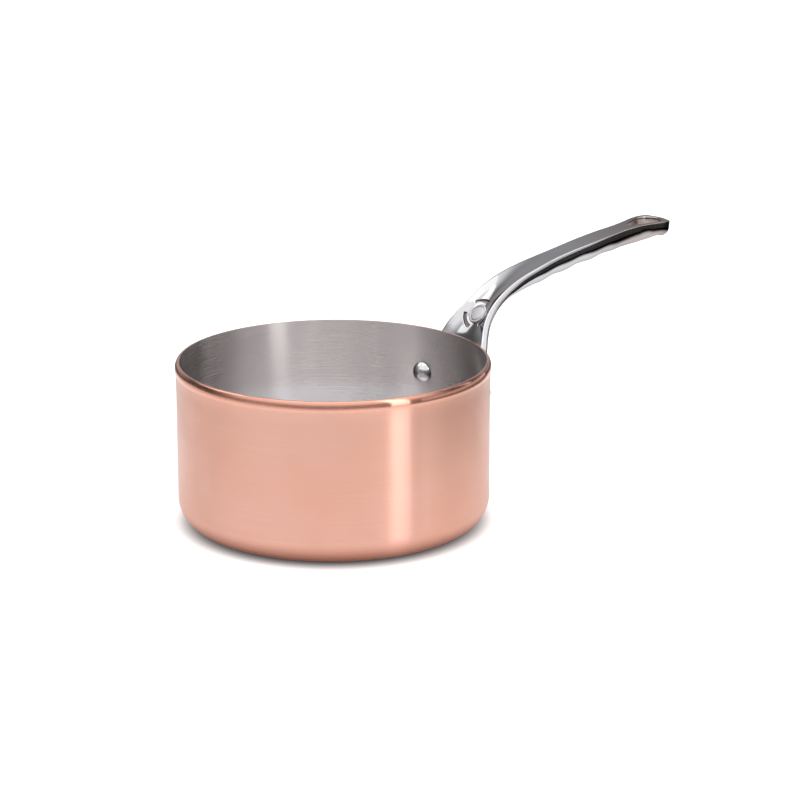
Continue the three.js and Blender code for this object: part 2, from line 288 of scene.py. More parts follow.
# --- pan ---
def copper_profile():
    """The copper from the middle of its slightly hollow base, out and up to the rim, and back inside."""
    inner = LINING_R + BOND_GAP
    floor = WALL_R - inner
    inner_corner = CORNER_R - floor
    round_z = RIM_Z - LIP_TALL
    base = np.linspace(0, 1, BASE_STEPS + 1)
    hollow = [(BASE_RING_R * t, BASE_HOLLOW * (1 - t * t) ** 2) for t in base]
    rise = np.linspace(0, 1, WALL_STEPS + 1)[1:-1]
    wall = [(WALL_R, CORNER_R + (LIP_FOOT - CORNER_R) * t) for t in rise]
    lean = np.linspace(0, 1, FLARE_STEPS + 1)[:-1]
    flare_out, flare_up = LIP_R - WALL_R, round_z - LIP_FOOT
    flare = [(WALL_R + flare_out * t ** FLARE_POWER, LIP_FOOT + flare_up * t) for t in lean]
    lip = arc(0, 0, 1, 0, 90, LIP_STEPS)
    return [
        *hollow,
        *arc(WALL_R - CORNER_R, CORNER_R, CORNER_R, -90, 0, CORNER_STEPS),
        *wall,
        *flare,
        *[(LIP_R - LIP_ROUND + LIP_ROUND * x, round_z + LIP_TALL * z) for x, z in lip],
        *arc(inner + INNER_EDGE, RIM_Z - INNER_EDGE, INNER_EDGE, 90, 180, INNER_EDGE_STEPS),
        *arc(inner - inner_corner, floor + inner_corner, inner_corner, 0, -90, CORNER_STEPS),
        (0, floor),
    ]


def lining_profile():
    """The thin lining: its outside from the middle up, then its inside from the top down."""
    inner = LINING_R - LINING_THICK
    out_corner = CORNER_R - LINING_FLOOR
    in_corner = out_corner - LINING_THICK
    floor = LINING_FLOOR + LINING_THICK
    fall = np.linspace(0, 1, WALL_STEPS + 1)[:-1]
    wall = [(inner, LINING_TOP + (floor + in_corner - LINING_TOP) * t) for t in fall]
    plate = [(r, floor) for r in np.linspace(inner - in_corner, 0, BASE_STEPS + 1)[1:]]
    return [
        (0, LINING_FLOOR),
        *arc(LINING_R - out_corner, LINING_FLOOR + out_corner, out_corner, -90, 0, CORNER_STEPS),
        (LINING_R, LINING_TOP),
        *wall,
        *arc(inner - in_corner, floor + in_corner, in_corner, 0, -90, CORNER_STEPS),
        *plate,
    ]


# --- rivets ---
def rivet_heading(node):
    """Height of a rivet's axis in mm and the angle round the pan at which it stands."""
    low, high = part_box(node)
    middle = (low + high) / 2
    return middle.z / MM, math.atan2(middle.y, middle.x)


def lay_along(thing, height, heading):
    """Turns an object made along +Z so that it points out of the pan's wall."""
    for vertex in thing.data.vertices:
        x, y, z = vertex.co / MM
        out = Vector((z, y, -x))
        vertex.co = Vector((
            out.x * math.cos(heading) - out.y * math.sin(heading),
            out.x * math.sin(heading) + out.y * math.cos(heading),
            out.z + height,
        )) * MM
    return thing


def rivet_profile():
    """Domed head inside the pan, shank, and a flatter domed tail outside."""
    head_foot = LINING_R - LINING_THICK - HEAD_SINK
    tail_foot = WALL_R + PLATE_FIT + PLATE_THICK + TAIL_GAP
    ball = (HEAD_R ** 2 + HEAD_H ** 2) / (2 * HEAD_H)
    span = math.degrees(math.asin(HEAD_R / ball))
    tail_ball = (TAIL_R ** 2 + TAIL_H ** 2) / (2 * TAIL_H)
    tail_span = math.degrees(math.asin(TAIL_R / tail_ball))
    head = arc(0, head_foot - HEAD_H + ball, ball, -90, -90 + span, HEAD_STEPS)
    tail = arc(0, tail_foot + TAIL_H - tail_ball, tail_ball, 90 - tail_span, 90, TAIL_STEPS)
    head[0] = (0, head[0][1])
    tail[-1] = (0, tail[-1][1])
    return [*head, (SHANK_R, head_foot), (SHANK_R, tail_foot), *tail]


# --- handle ---
def station_at(u):
    """The station values at u from 0 to 1, on a smooth curve through all stations."""
    last = len(STATIONS) - 1
    place = min(u * last, last - SPINE_END)
    i = int(place)
    t = place - i
    here, there = STATIONS[i], STATIONS[i + 1]
    before = STATIONS[i - 1] if i > 0 else 2 * here - there
    after = STATIONS[i + 2] if i + 2 <= last else 2 * there - here
    slope = there - before
    bend = 2 * before - 5 * here + 4 * there - after
    turn_over = 3 * here - before - 3 * there + after
    return (2 * here + slope * t + bend * t ** 2 + turn_over * t ** 3) / 2


def wave_at(reach):
    """How much deeper the grip is at a place along the handle, for the fingers."""
    fade = min(1.0, (reach - WAVE_FROM) / WAVE_FADE, (WAVE_TO - reach) / WAVE_FADE)
    return max(0.0, fade) * WAVE_HEIGHT * math.cos(2 * math.pi * (reach - WAVE_FIRST) / WAVE_PITCH)


def stretch(curve, leave_start, leave_end, count):
    """Evenly spaced points along a curve, with a bit left out at each end for the rounded corners."""
    along = np.concatenate([[0], np.cumsum(np.linalg.norm(np.diff(curve, axis=0), axis=1))])
    most = MOST_ROUNDED * along[-1]
    where = np.linspace(min(leave_start, most), along[-1] - min(leave_end, most), count)
    return np.stack([np.interp(where, along, curve[:, k]) for k in (0, 1)], axis=1)


def section_outline(values):
    """One cross-section as (sideways, above the middle of the upper face), anticlockwise."""
    reach, _, half, dish, strip, side, depth, belly = values
    outer = half + strip * STRIP_SLANT
    side_foot = dish - strip - side
    drop = depth + wave_at(reach) - strip - side
    t = np.linspace(1, -1, FACE_SAMPLES + 1)
    face = np.stack([half * t, dish * t * t], axis=1)
    t = -np.cos(np.linspace(0, math.pi, UNDER_SAMPLES + 1))
    under = np.stack([outer * t, side_foot - drop * np.maximum(0, 1 - t * t) ** (1 / belly)], axis=1)
    strip_foot = dish - strip
    left_strip = np.array([face[-1], (-outer, strip_foot)])
    left_side = np.array([(-outer, strip_foot), under[0]])
    right_side = np.array([under[-1], (outer, strip_foot)])
    right_strip = np.array([(outer, strip_foot), face[0]])
    sides = (
        (face, FAR_CREASE_ROUND, FACE_POINTS),
        (left_strip, CREASE_ROUND, STRIP_POINTS),
        (left_side, STRIP_FOOT_ROUND, SIDE_POINTS),
        (under, SIDE_FOOT_ROUND, BELLY_POINTS),
        (right_side, SIDE_FOOT_ROUND, SIDE_POINTS),
        (right_strip, STRIP_FOOT_ROUND, STRIP_POINTS),
    )
    pieces = []
    for (curve, leave_start, count), (_, leave_end, _) in zip(sides, (*sides[1:], sides[0])):
        pieces.append(stretch(curve, leave_start, leave_end, count))
    outline = []
    for i, piece in enumerate(pieces):
        corner = sides[i][0][-1]
        start, end = piece[-1], pieces[(i + 1) % len(pieces)][0]
        outline.extend(piece)
        for k in range(1, BEND_STEPS):
            s = k / BEND_STEPS
            outline.append((1 - s) ** 2 * start + 2 * s * (1 - s) * corner + s * s * end)
    return np.array(outline)


def ring_at(u, inset):
    """The cross-section at u in 3-D, drawn in by a little where the ends are rounded."""
    values = station_at(u)
    ahead = station_at(min(1, u + SPINE_STEP))[:2] - station_at(max(0, u - SPINE_STEP))[:2]
    ahead /= np.linalg.norm(ahead)
    outline = section_outline(values)
    middle = (outline.max(axis=0) + outline.min(axis=0)) / 2
    reach = (outline.max(axis=0) - outline.min(axis=0)) / 2
    outline = middle + (outline - middle) * (1 - inset / reach)
    across, above = outline.T
    return np.stack([values[0] - ahead[1] * above, across, values[1] + ahead[0] * above], axis=1)


def rounded_end(rounding, gap):
    """(share of the spine from the end, inset) of the rings of a quarter-round end, the last at the end."""
    last = len(STATIONS) - 1
    angles = np.linspace(0, math.pi / 2, END_STEPS + 1)
    return [(rounding * (1 - math.sin(a)) / gap / last, rounding * (1 - math.cos(a))) for a in angles]


def ring_places():
    """(u, inset) of each ring: quarter-round ends and even steps between."""
    foot = rounded_end(END_ROUND, np.linalg.norm(STATIONS[1, :2] - STATIONS[0, :2]))[::-1]
    end = rounded_end(TIP_ROUND, np.linalg.norm(STATIONS[-1, :2] - STATIONS[-2, :2]))
    tip = [(1 - share, inset) for share, inset in end]
    steps = np.linspace(foot[-1][0], tip[0][0], (len(STATIONS) - 1) * RINGS_PER_STATION)[1:-1]
    return [*foot, *[(u, 0.0) for u in steps], *tip]


def mouth_rings(skin, starts, aways, toward, rounding):
    """Rings from the wall of a hole round its mouth on the handle's skin, and on into the open."""
    slopes = np.linspace(0, MOUTH_BEND, MOUTH_STEPS + 1)
    last = slopes[-1]
    rings = [[] for _ in range(len(slopes) + 1)]
    for start, away in zip(starts, aways):
        hit, normal = skin.ray_cast(start, toward)[:2]
        slide = (away - normal * away.dot(normal)).normalized()
        inner = hit + toward * rounding
        outer = hit + slide * rounding
        for ring, s in zip(rings, slopes):
            ring.append(inner * (1 - s) ** 2 + hit * (2 * s * (1 - s)) + outer * s * s)
        onward = ((hit - inner) * (1 - last) + (outer - hit) * last).normalized()
        rings[-1].append(rings[-2][-1] + onward * MOUTH_EXIT)
    rings.append([point - toward * MOUTH_CLEAR for point in rings[-1]])
    return [np.array(ring) for ring in rings]


def outward(outline):
    """The outward direction at each point of a closed anticlockwise outline."""
    chord = np.roll(outline, -1, axis=0) - np.roll(outline, 1, axis=0)
    chord /= np.linalg.norm(chord, axis=1)[:, None]
    return np.stack([chord[:, 1], -chord[:, 0]], axis=1)


class BossPlane:
    """The tilted plane of the boss: places in it are (across, down the plate, above)."""
    origin = Vector((BOSS_REACH, 0, BOSS_HEIGHT))
    across = Vector((0, 1, 0))
    down = Vector((-math.cos(BOSS_SLOPE), 0, -math.sin(BOSS_SLOPE)))
    up = Vector((-math.sin(BOSS_SLOPE), 0, math.cos(BOSS_SLOPE)))

    @classmethod
    def place(cls, x, y, z):
        """The place in the frame of a point in the boss's plane or above it."""
        return cls.origin + cls.across * x + cls.down * y + cls.up * z


def boss():
    """A low round button with a ring groove, sunk into the plate."""
    bed = BOSS_RISE - GROOVE_DEPTH
    flat = np.linspace(0, GROOVE_IN - DOME_MARGIN, DOME_STEPS + 1)
    dome = [(r, BOSS_RISE + BOSS_DOME * (1 - (r / GROOVE_IN) ** 2)) for r in flat]
    # one wall of the groove: how far in from its edge, and the height
    groove_wall = [
        (GROOVE_LEAN, BOSS_RISE - GROOVE_BREAK),
        (GROOVE_BEND, bed + GROOVE_BEND),
        (GROOVE_FOOT, bed),
    ]
    profile = [
        *dome,
        *[(GROOVE_IN + inset, z) for inset, z in groove_wall],
        *[(GROOVE_OUT - inset, z) for inset, z in reversed(groove_wall)],
        (GROOVE_OUT + GROOVE_BREAK, BOSS_RISE),
        *arc(BOSS_R - BOSS_EDGE, BOSS_RISE - BOSS_EDGE, BOSS_EDGE, 90, 0, BOSS_EDGE_STEPS),
        (BOSS_R + BOSS_SKIRT, BOSS_ROOT),
        (0, BOSS_ROOT),
    ]
    thing = turn("boss", profile[::-1], BOSS_STEPS)
    for vertex in thing.data.vertices:
        vertex.co = BossPlane.place(*(vertex.co / MM)) * MM
    return thing


def ring_sweep(radius, start, stop):
    """Points on a ring round the boss, from one angle to another."""
    return [(radius * math.cos(a), radius * math.sin(a)) for a in np.linspace(start, stop, RECESS_STEPS + 1)]


def ring_corner(radius, heading, quarter):
    """A quarter circle about a point on a ring round the boss."""
    x, y = radius * math.cos(heading), radius * math.sin(heading)
    angles = np.linspace(0, math.pi / 2, RECESS_CORNER_STEPS + 1) + heading + quarter * math.pi / 2
    return [(x + RECESS_CORNER * math.cos(a), y + RECESS_CORNER * math.sin(a)) for a in angles]


def recess_outline(middle):
    """A bent slot round the boss with round corners, in the boss's plane, anticlockwise."""
    near, far = RECESS_RADIUS - RECESS_WIDTH / 2, RECESS_RADIUS + RECESS_WIDTH / 2
    core = RECESS_WIDTH / 2 - RECESS_CORNER
    low, high = RECESS_RADIUS - core, RECESS_RADIUS + core
    first = middle - RECESS_HALF_SPAN + RECESS_CORNER / RECESS_RADIUS
    last = middle + RECESS_HALF_SPAN - RECESS_CORNER / RECESS_RADIUS
    return np.array([
        *ring_sweep(far, first, last),
        *ring_corner(high, last, 0)[1:],
        *ring_corner(low, last, 1),
        *ring_sweep(near, last, first)[1:-1],
        *ring_corner(low, first, 2),
        *ring_corner(high, first, 3)[:-1],
    ])


def recess_cutter(skin, index):
    """The body that cuts one recess, with a rounded foot and a rounded mouth on the handle's skin."""
    outline = recess_outline(math.radians(RECESS_FIRST + 360 // RECESS_COUNT * index))
    toward = -BossPlane.up
    starts = [BossPlane.place(x, y, RECESS_ABOVE) for x, y in outline]
    aways = [BossPlane.across * x + BossPlane.down * y for x, y in outward(outline)]
    hits = [skin.ray_cast(start, toward)[0] for start in starts]
    rings = []
    for inset, above in RECESS_FOOT:
        depth = RECESS_DEPTH - above
        rings.append(np.array([hit - out * inset + toward * depth for hit, out in zip(hits, aways)]))
    return add_object("recess", *tube(rings + mouth_rings(skin, starts, aways, toward, MOUTH_ROUND)))


def circle_point(x, radius, angle):
    """A point on one of the eye's two circles, which stand on the handle's middle line."""
    return np.array([x + radius * math.cos(angle), radius * math.sin(angle)])


def eye_side(angle, shares):
    """Points on the line that touches both circles of the eye at one angle, without its ends."""
    big = circle_point(EYE_ROUND_X, EYE_ROUND_R, angle)
    small = circle_point(EYE_POINT_X, EYE_POINT_R, angle)
    return [big + (small - big) * t for t in shares[1:-1]]


def eye_outline():
    """A teardrop: two circles and the lines that touch both, anticlockwise."""
    turned = math.pi - math.acos((EYE_ROUND_R - EYE_POINT_R) / (EYE_ROUND_X - EYE_POINT_X))
    round_part = np.linspace(-turned, turned, EYE_ROUND_STEPS + 1)
    point_part = np.linspace(turned, 2 * math.pi - turned, EYE_POINT_STEPS + 1)
    shares = np.linspace(0, 1, EYE_SIDE_STEPS + 1)
    return np.array([
        *[circle_point(EYE_ROUND_X, EYE_ROUND_R, a) for a in round_part],
        *eye_side(turned, shares),
        *[circle_point(EYE_POINT_X, EYE_POINT_R, a) for a in point_part],
        *eye_side(-turned, shares[::-1]),
    ])


def eye_cutter(skin):
    """The body that cuts the hanging eye through the handle, rounded at both mouths."""
    outline = eye_outline()
    aways = [Vector((x, y, 0)) for x, y in outward(outline)]
    up = Vector((0, 0, 1))
    high = [Vector((x, y, EYE_ABOVE)) for x, y in outline]
    low = [Vector((x, y, EYE_BELOW)) for x, y in outline]
    lower = mouth_rings(skin, low, aways, up, EYE_MOUTH)
    upper = mouth_rings(skin, high, aways, -up, EYE_MOUTH)
    return add_object("eye", *tube(lower[::-1] + upper))


def rivet_hole(node):
    """The body that cuts the hole for one rivet through the plate."""
    height, heading = rivet_heading(node)
    profile = [(0, HOLE_FROM), (HOLE_R, HOLE_FROM), (HOLE_R, HOLE_TO), (0, HOLE_TO)]
    return lay_along(turn("hole", profile, HOLE_STEPS), height, heading)


def cast_handle():
    """The whole casting: a loft through the stations, the boss added, recesses and holes cut out."""
    points, faces = tube([ring_at(u, inset) for u, inset in ring_places()])
    handle = add_object("cast_handle", points, faces)
    skin = BVHTree.FromPolygons([Vector(p) for p in points], faces)
    combine(handle, [boss()], "UNION")
    cutters = [recess_cutter(skin, i) for i in range(RECESS_COUNT)]
    cutters += [eye_cutter(skin), rivet_hole("rivet_left"), rivet_hole("rivet_right")]
    combine(handle, cutters, "DIFFERENCE")
    return handle


# --- materials ---
COPPER_PINK = (0.82, 0.475, 0.385)
COPPER_WARM = (0.81, 0.45, 0.345)
# deeper copper: the turning lines, and the painted shade and painted dark reflection at the corner and rim
# edge
COPPER_GRAIN_AND_PAINTED_SHADE = (0.7, 0.34, 0.25)
COPPER_DULL = (0.45, 0.25, 0.2)
LINING_WARM = (0.74, 0.695, 0.69)
# paler steel: painted reflected light on the lower lining
LINING_PAINTED_LIGHT = (0.86, 0.84, 0.85)
LINING_GREY = (0.56, 0.53, 0.52)
STEEL_COOL = (0.6, 0.6, 0.625)
STEEL_WARM = (0.585, 0.57, 0.575)
STEEL_BROWN = (0.46, 0.405, 0.385)
# painted shade on the recess floors
RECESS_PAINTED_SHADE = (0.13, 0.098, 0.088)
RIVET_BRIGHT = (0.64, 0.63, 0.64)
RIVET_GREY = (0.57, 0.555, 0.56)
# painted light: paler steel on the wall inside the eye
EYE_WALL_PAINTED_LIGHT = (0.78, 0.7, 0.67)
STEEL_EDGE = (0.56, 0.55, 0.59)

# how finely the turning lines vary along a ring and across the rings, per metre
RING_SLOW = 14.0
RING_FAST = 3200.0
# beside the boss the plate's face rises by this times the sideways distance squared, in metres
DISH_CURVE = 21.0

# where a look changes, as (from, to) in metres
# heights on the copper: the painted shade in the bottom corner, the worn foot, the painted dark reflection
# on the rim edge and the edge's polish
CORNER_PAINTED_SHADE = (1 * MM, 15 * MM)
WORN_FOOT = (0.1 * MM, 0.6 * MM)
RIM_PAINTED_DARK_REFLECTION = ((RIM_Z - 6.0) * MM, (RIM_Z - 4.2) * MM)
EDGE_POLISH = ((RIM_Z - 7.0) * MM, (RIM_Z - 4.5) * MM)
# the height below which painted reflected light pales the lining towards its floor, and the reach at which
# the grip turns brown
PAINTED_LIGHT_FOOT = (52 * MM, 64 * MM)
BROWN_REACH = (170 * MM, 235 * MM)
# the satin button: height above the boss's plane and distance from the boss's middle
BUTTON_RISE = (0.5 * MM, 0.8 * MM)
BUTTON_EDGE = ((BOSS_R - 0.5) * MM, BOSS_R * MM)
# the recess floors, darkened with painted shade: height against the plate's face and distance from the
# boss's middle
RECESS_SHADE = (-0.95 * MM, -0.45 * MM)
RECESS_REACH = (11.3 * MM, 12.0 * MM)
# the eye's rough cast wall, paled with painted light: distance outside the eye's outline and height
CAST_EDGE = (0.25 * MM, 0.6 * MM)
CAST_TOP = (147.4 * MM, 148.2 * MM)


def metal(name):
    """A new metallic material, its node tree and its shader."""
    material = bpy.data.materials.new(name)
    material.use_nodes = True
    shader = material.node_tree.nodes["Principled BSDF"]
    shader.inputs["Metallic"].default_value = 1.0
    return material, material.node_tree, shader


def mapped(tree, value, low, high, to_low, to_high):
    """A smooth step between two levels."""
    step = tree.nodes.new("ShaderNodeMapRange")
    step.interpolation_type = "SMOOTHSTEP"
    step.inputs["From Min"].default_value = low
    step.inputs["From Max"].default_value = high
    step.inputs["To Min"].default_value = to_low
    step.inputs["To Max"].default_value = to_high
    tree.links.new(value, step.inputs["Value"])
    return step.outputs["Result"]


def combined(tree, operation, first, second, third=None):
    """One sum, product or the like of numbers and sockets."""
    step = tree.nodes.new("ShaderNodeMath")
    step.operation = operation
    for socket, value in zip(step.inputs, (first, second, third)):
        if value is None:
            continue
        if isinstance(value, (int, float)):
            socket.default_value = value
        else:
            tree.links.new(value, socket)
    return step.outputs["Value"]


def mixed(tree, share, first, second):
    """A colour between two, each a colour or a socket."""
    step = tree.nodes.new("ShaderNodeMix")
    step.data_type = "RGBA"
    tree.links.new(share, step.inputs["Factor"])
    for socket, value in ((step.inputs[6], first), (step.inputs[7], second)):
        if isinstance(value, tuple):
            socket.default_value = (*value, 1)
        else:
            tree.links.new(value, socket)
    return step.outputs[2]


def noise(tree, vector, scale, detail):
    """Soft noise from 0 to 1."""
    step = tree.nodes.new("ShaderNodeTexNoise")
    step.inputs["Scale"].default_value = scale
    step.inputs["Detail"].default_value = detail
    tree.links.new(vector, step.inputs["Vector"])
    return step.outputs["Fac"]


def stretched(tree, vector, x, y, z):
    """A vector with its x, y and z multiplied."""
    step = tree.nodes.new("ShaderNodeVectorMath")
    step.operation = "MULTIPLY"
    step.inputs[1].default_value = (x, y, z)
    tree.links.new(vector, step.inputs[0])
    return step.outputs["Vector"]


def object_place(tree):
    """The object's own coordinates."""
    return tree.nodes.new("ShaderNodeTexCoord").outputs["Object"]


def split(tree, vector):
    """The x, y and z of a vector."""
    step = tree.nodes.new("ShaderNodeSeparateXYZ")
    tree.links.new(vector, step.inputs[0])
    return step.outputs


def vector_length(tree, vector):
    """How long a vector is."""
    step = tree.nodes.new("ShaderNodeVectorMath")
    step.operation = "LENGTH"
    tree.links.new(vector, step.inputs[0])
    return step.outputs["Value"]


def dot(tree, vector, direction):
    """How far a place lies along a direction."""
    step = tree.nodes.new("ShaderNodeVectorMath")
    step.operation = "DOT_PRODUCT"
    step.inputs[1].default_value = direction
    tree.links.new(vector, step.inputs[0])
    return step.outputs["Value"]


def turned_place(tree):
    """Coordinates that change fast across the rings of a turned piece and slowly along them."""
    place = object_place(tree)
    parts = split(tree, place)
    radius = vector_length(tree, stretched(tree, place, 1, 1, 0))
    lines = tree.nodes.new("ShaderNodeCombineXYZ")
    tree.links.new(combined(tree, "MULTIPLY", parts["X"], RING_SLOW), lines.inputs["X"])
    tree.links.new(combined(tree, "MULTIPLY", parts["Y"], RING_SLOW), lines.inputs["Y"])
    across = combined(tree, "ADD", radius, parts["Z"])
    tree.links.new(combined(tree, "MULTIPLY", across, RING_FAST), lines.inputs["Z"])
    return place, parts, lines.outputs["Vector"]


def bumped(tree, height, depth):
    """Raises the surface by a height from 0 to 1, times a depth in millimetres."""
    step = tree.nodes.new("ShaderNodeBump")
    step.inputs["Strength"].default_value = 1.0
    step.inputs["Distance"].default_value = depth * MM
    tree.links.new(height, step.inputs["Height"])
    tree.links.new(step.outputs["Normal"], tree.nodes["Principled BSDF"].inputs["Normal"])


def ring_brushed(tree, shader):
    """Lets the highlight smear across the rings left by turning."""
    shader.inputs["Anisotropic"].default_value = 1.0
    shader.inputs["Anisotropic Rotation"].default_value = 0.25
    tangent = tree.nodes.new("ShaderNodeTangent")
    tangent.direction_type = "RADIAL"
    tangent.axis = "Z"
    tree.links.new(tangent.outputs["Tangent"], shader.inputs["Tangent"])


def finished(tree, shader, tint, rough):
    """Gives a shader its colour and its roughness."""
    tree.links.new(tint, shader.inputs["Base Color"])
    tree.links.new(rough, shader.inputs["Roughness"])


def copper_material():
    """Polished copper: faint turning lines, cloudy tint, painted shade in deeper copper at the bottom corner
    and a painted dark reflection in deeper copper on the rim edge, a duller worn base.
    """
    material, tree, shader = metal("polished_copper")
    ring_brushed(tree, shader)
    place, parts, lines = turned_place(tree)
    up = parts["Z"]
    fine = noise(tree, lines, scale=1.0, detail=3.0)
    cloud = noise(tree, place, scale=16.0, detail=3.0)
    smudge = noise(tree, place, scale=55.0, detail=6.0)
    tint = mixed(tree, mapped(tree, cloud, 0.35, 0.65, 0, 1), COPPER_PINK, COPPER_WARM)
    tint = mixed(tree, mapped(tree, fine, 0.3, 0.7, 0, 0.22), tint, COPPER_GRAIN_AND_PAINTED_SHADE)
    # painted shade: deeper copper towards the bottom corner
    corner = mapped(tree, up, *CORNER_PAINTED_SHADE, 0.7, 0)
    # painted dark reflection: deeper copper on the rim edge
    rim_dark_reflection = mapped(tree, up, *RIM_PAINTED_DARK_REFLECTION, 0, 0.85)
    tint = mixed(tree, combined(tree, "MAXIMUM", corner, rim_dark_reflection), tint, COPPER_GRAIN_AND_PAINTED_SHADE)
    worn = combined(tree, "MULTIPLY", mapped(tree, up, *WORN_FOOT, 1, 0), smudge)
    tint = mixed(tree, worn, tint, COPPER_DULL)
    rough = mapped(tree, up, *EDGE_POLISH, 0.27, 0.13)
    rough = combined(tree, "MULTIPLY_ADD", smudge, 0.07, rough)
    rough = combined(tree, "MULTIPLY_ADD", worn, 0.2, rough)
    finished(tree, shader, tint, rough)
    bumped(tree, fine, 0.0012)
    return material


def lining_material():
    """Satin steel: circular brushing, faint mottling and painted reflected light that pales it towards its
    floor.
    """
    material, tree, shader = metal("satin_steel")
    ring_brushed(tree, shader)
    place, parts, lines = turned_place(tree)
    grain = noise(tree, lines, scale=0.8, detail=4.0)
    cloud = noise(tree, place, scale=22.0, detail=3.0)
    # painted reflected light: the lining pales below a height
    tint = mixed(tree, mapped(tree, parts["Z"], *PAINTED_LIGHT_FOOT, 1, 0), LINING_WARM, LINING_PAINTED_LIGHT)
    tint = mixed(tree, mapped(tree, grain, 0.3, 0.75, 0, 0.13), tint, LINING_GREY)
    tint = mixed(tree, mapped(tree, cloud, 0.4, 0.75, 0, 0.22), tint, LINING_GREY)
    rough = combined(tree, "MULTIPLY_ADD", grain, 0.04, 0.235)
    rough = combined(tree, "MULTIPLY_ADD", cloud, 0.05, rough)
    finished(tree, shader, tint, rough)
    bumped(tree, grain, 0.0008)
    return material


def around_boss(tree, place):
    """Height of a point above the boss's plane and its distance from the boss's middle, in metres."""
    origin = tree.nodes.new("ShaderNodeVectorMath")
    origin.operation = "SUBTRACT"
    origin.inputs[1].default_value = BossPlane.origin * MM
    tree.links.new(place, origin.inputs[0])
    offset = origin.outputs["Vector"]
    return dot(tree, offset, BossPlane.up), vector_length(tree, offset)


def shaded_recess_floors(tree, rise, far, sideways):
    """0.9 on the floors of the recesses round the boss, where shade is painted, 0 elsewhere."""
    square = combined(tree, "MULTIPLY", sideways, sideways)
    sunk = combined(tree, "MULTIPLY_ADD", square, -DISH_CURVE, rise)
    deep = mapped(tree, sunk, *RECESS_SHADE, 1, 0)
    return combined(tree, "MULTIPLY", deep, mapped(tree, far, *RECESS_REACH, 0.9, 0))


def eye_wall(tree, parts):
    """0.9 on the wall inside the hanging eye, 0 elsewhere."""
    gap = (EYE_ROUND_X - EYE_POINT_X) * MM
    share = combined(tree, "MULTIPLY_ADD", parts["X"], 1 / gap, -EYE_POINT_X * MM / gap)
    share = combined(tree, "MINIMUM", combined(tree, "MAXIMUM", share, 0), 1)
    middle = combined(tree, "MULTIPLY_ADD", share, gap, EYE_POINT_X * MM)
    radius = combined(tree, "MULTIPLY_ADD", share, (EYE_ROUND_R - EYE_POINT_R) * MM, EYE_POINT_R * MM)
    x = combined(tree, "SUBTRACT", parts["X"], middle)
    square = combined(tree, "MULTIPLY_ADD", x, x, combined(tree, "MULTIPLY", parts["Y"], parts["Y"]))
    away = combined(tree, "SUBTRACT", combined(tree, "SQRT", square, 0), radius)
    wall = mapped(tree, away, *CAST_EDGE, 1, 0)
    return combined(tree, "MULTIPLY", wall, mapped(tree, parts["Z"], *CAST_TOP, 0.9, 0))


def handle_material():
    """Polished cast steel: faint waviness and scratches, a browner tip, rougher recess floors with painted
    shade, a rougher eye wall paled with painted light.
    """
    material, tree, shader = metal("polished_cast_steel")
    shader.inputs["Specular Tint"].default_value = (*STEEL_EDGE, 1)
    place = object_place(tree)
    parts = split(tree, place)
    cloud = noise(tree, place, scale=45.0, detail=3.0)
    scratch = noise(tree, stretched(tree, place, 130, 2600, 2600), scale=1.0, detail=3.0)
    rise, far = around_boss(tree, place)
    painted_recess_shade = shaded_recess_floors(tree, rise, far, parts["Y"])
    cast = eye_wall(tree, parts)
    tint = mixed(tree, mapped(tree, cloud, 0.3, 0.7, 0, 1), STEEL_COOL, STEEL_WARM)
    tint = mixed(tree, mapped(tree, parts["X"], *BROWN_REACH, 0, 1), tint, STEEL_BROWN)
    # painted shade: dark brown on the recess floors
    tint = mixed(tree, painted_recess_shade, tint, RECESS_PAINTED_SHADE)
    # painted light: the rougher wall inside the eye is made paler
    tint = mixed(tree, cast, tint, EYE_WALL_PAINTED_LIGHT)
    raised = mapped(tree, rise, *BUTTON_RISE, 0, 1)
    button = combined(tree, "MULTIPLY", raised, mapped(tree, far, *BUTTON_EDGE, 1, 0))
    rough = combined(tree, "MULTIPLY_ADD", cloud, 0.07, 0.08)
    rough = combined(tree, "MULTIPLY_ADD", combined(tree, "MAXIMUM", button, cast), 0.34, rough)
    rough = combined(tree, "MULTIPLY_ADD", mapped(tree, scratch, 0.55, 0.8, 0, 1), 0.1, rough)
    rough = combined(tree, "MULTIPLY_ADD", painted_recess_shade, 0.25, rough)
    finished(tree, shader, tint, rough)
    bumped(tree, combined(tree, "MULTIPLY_ADD", scratch, 0.01, cloud), 0.09)
    return material


def rivet_material():
    """Polished steel with a slightly uneven, finely scratched skin."""
    material, tree, shader = metal("polished_rivet_steel")
    place = object_place(tree)
    cloud = noise(tree, place, scale=260.0, detail=3.0)
    scratch = noise(tree, stretched(tree, place, 900, 900, 4200), scale=1.0, detail=2.0)
    tint = mixed(tree, mapped(tree, cloud, 0.3, 0.7, 0, 1), RIVET_BRIGHT, RIVET_GREY)
    finished(tree, shader, tint, combined(tree, "MULTIPLY_ADD", scratch, 0.08, 0.08))
    bumped(tree, combined(tree, "MULTIPLY_ADD", scratch, 0.05, cloud), 0.012)
    return material


# --- the object ---
def dress(piece, material, node):
    """Gives a piece its material and puts it in the place of one CAD node."""
    piece.data.materials.clear()
    piece.data.materials.append(material)
    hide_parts(node)
    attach(piece, WHOLE)


def build_object():
    shell = turn("copper_shell", copper_profile())
    smooth(shell)
    dress(shell, copper_material(), "copper_body")
    skin = turn("lining_skin", lining_profile())
    smooth(skin)
    dress(skin, lining_material(), "steel_lining")
    handle = cast_handle()
    smooth(handle)
    dress(handle, handle_material(), "handle")
    steel = rivet_material()
    for side in ("left", "right"):
        rivet = turn(f"domed_rivet_{side}", rivet_profile(), RIVET_STEPS)
        lay_along(rivet, *rivet_heading(f"rivet_{side}"))
        smooth(rivet)
        dress(rivet, steel, f"rivet_{side}")


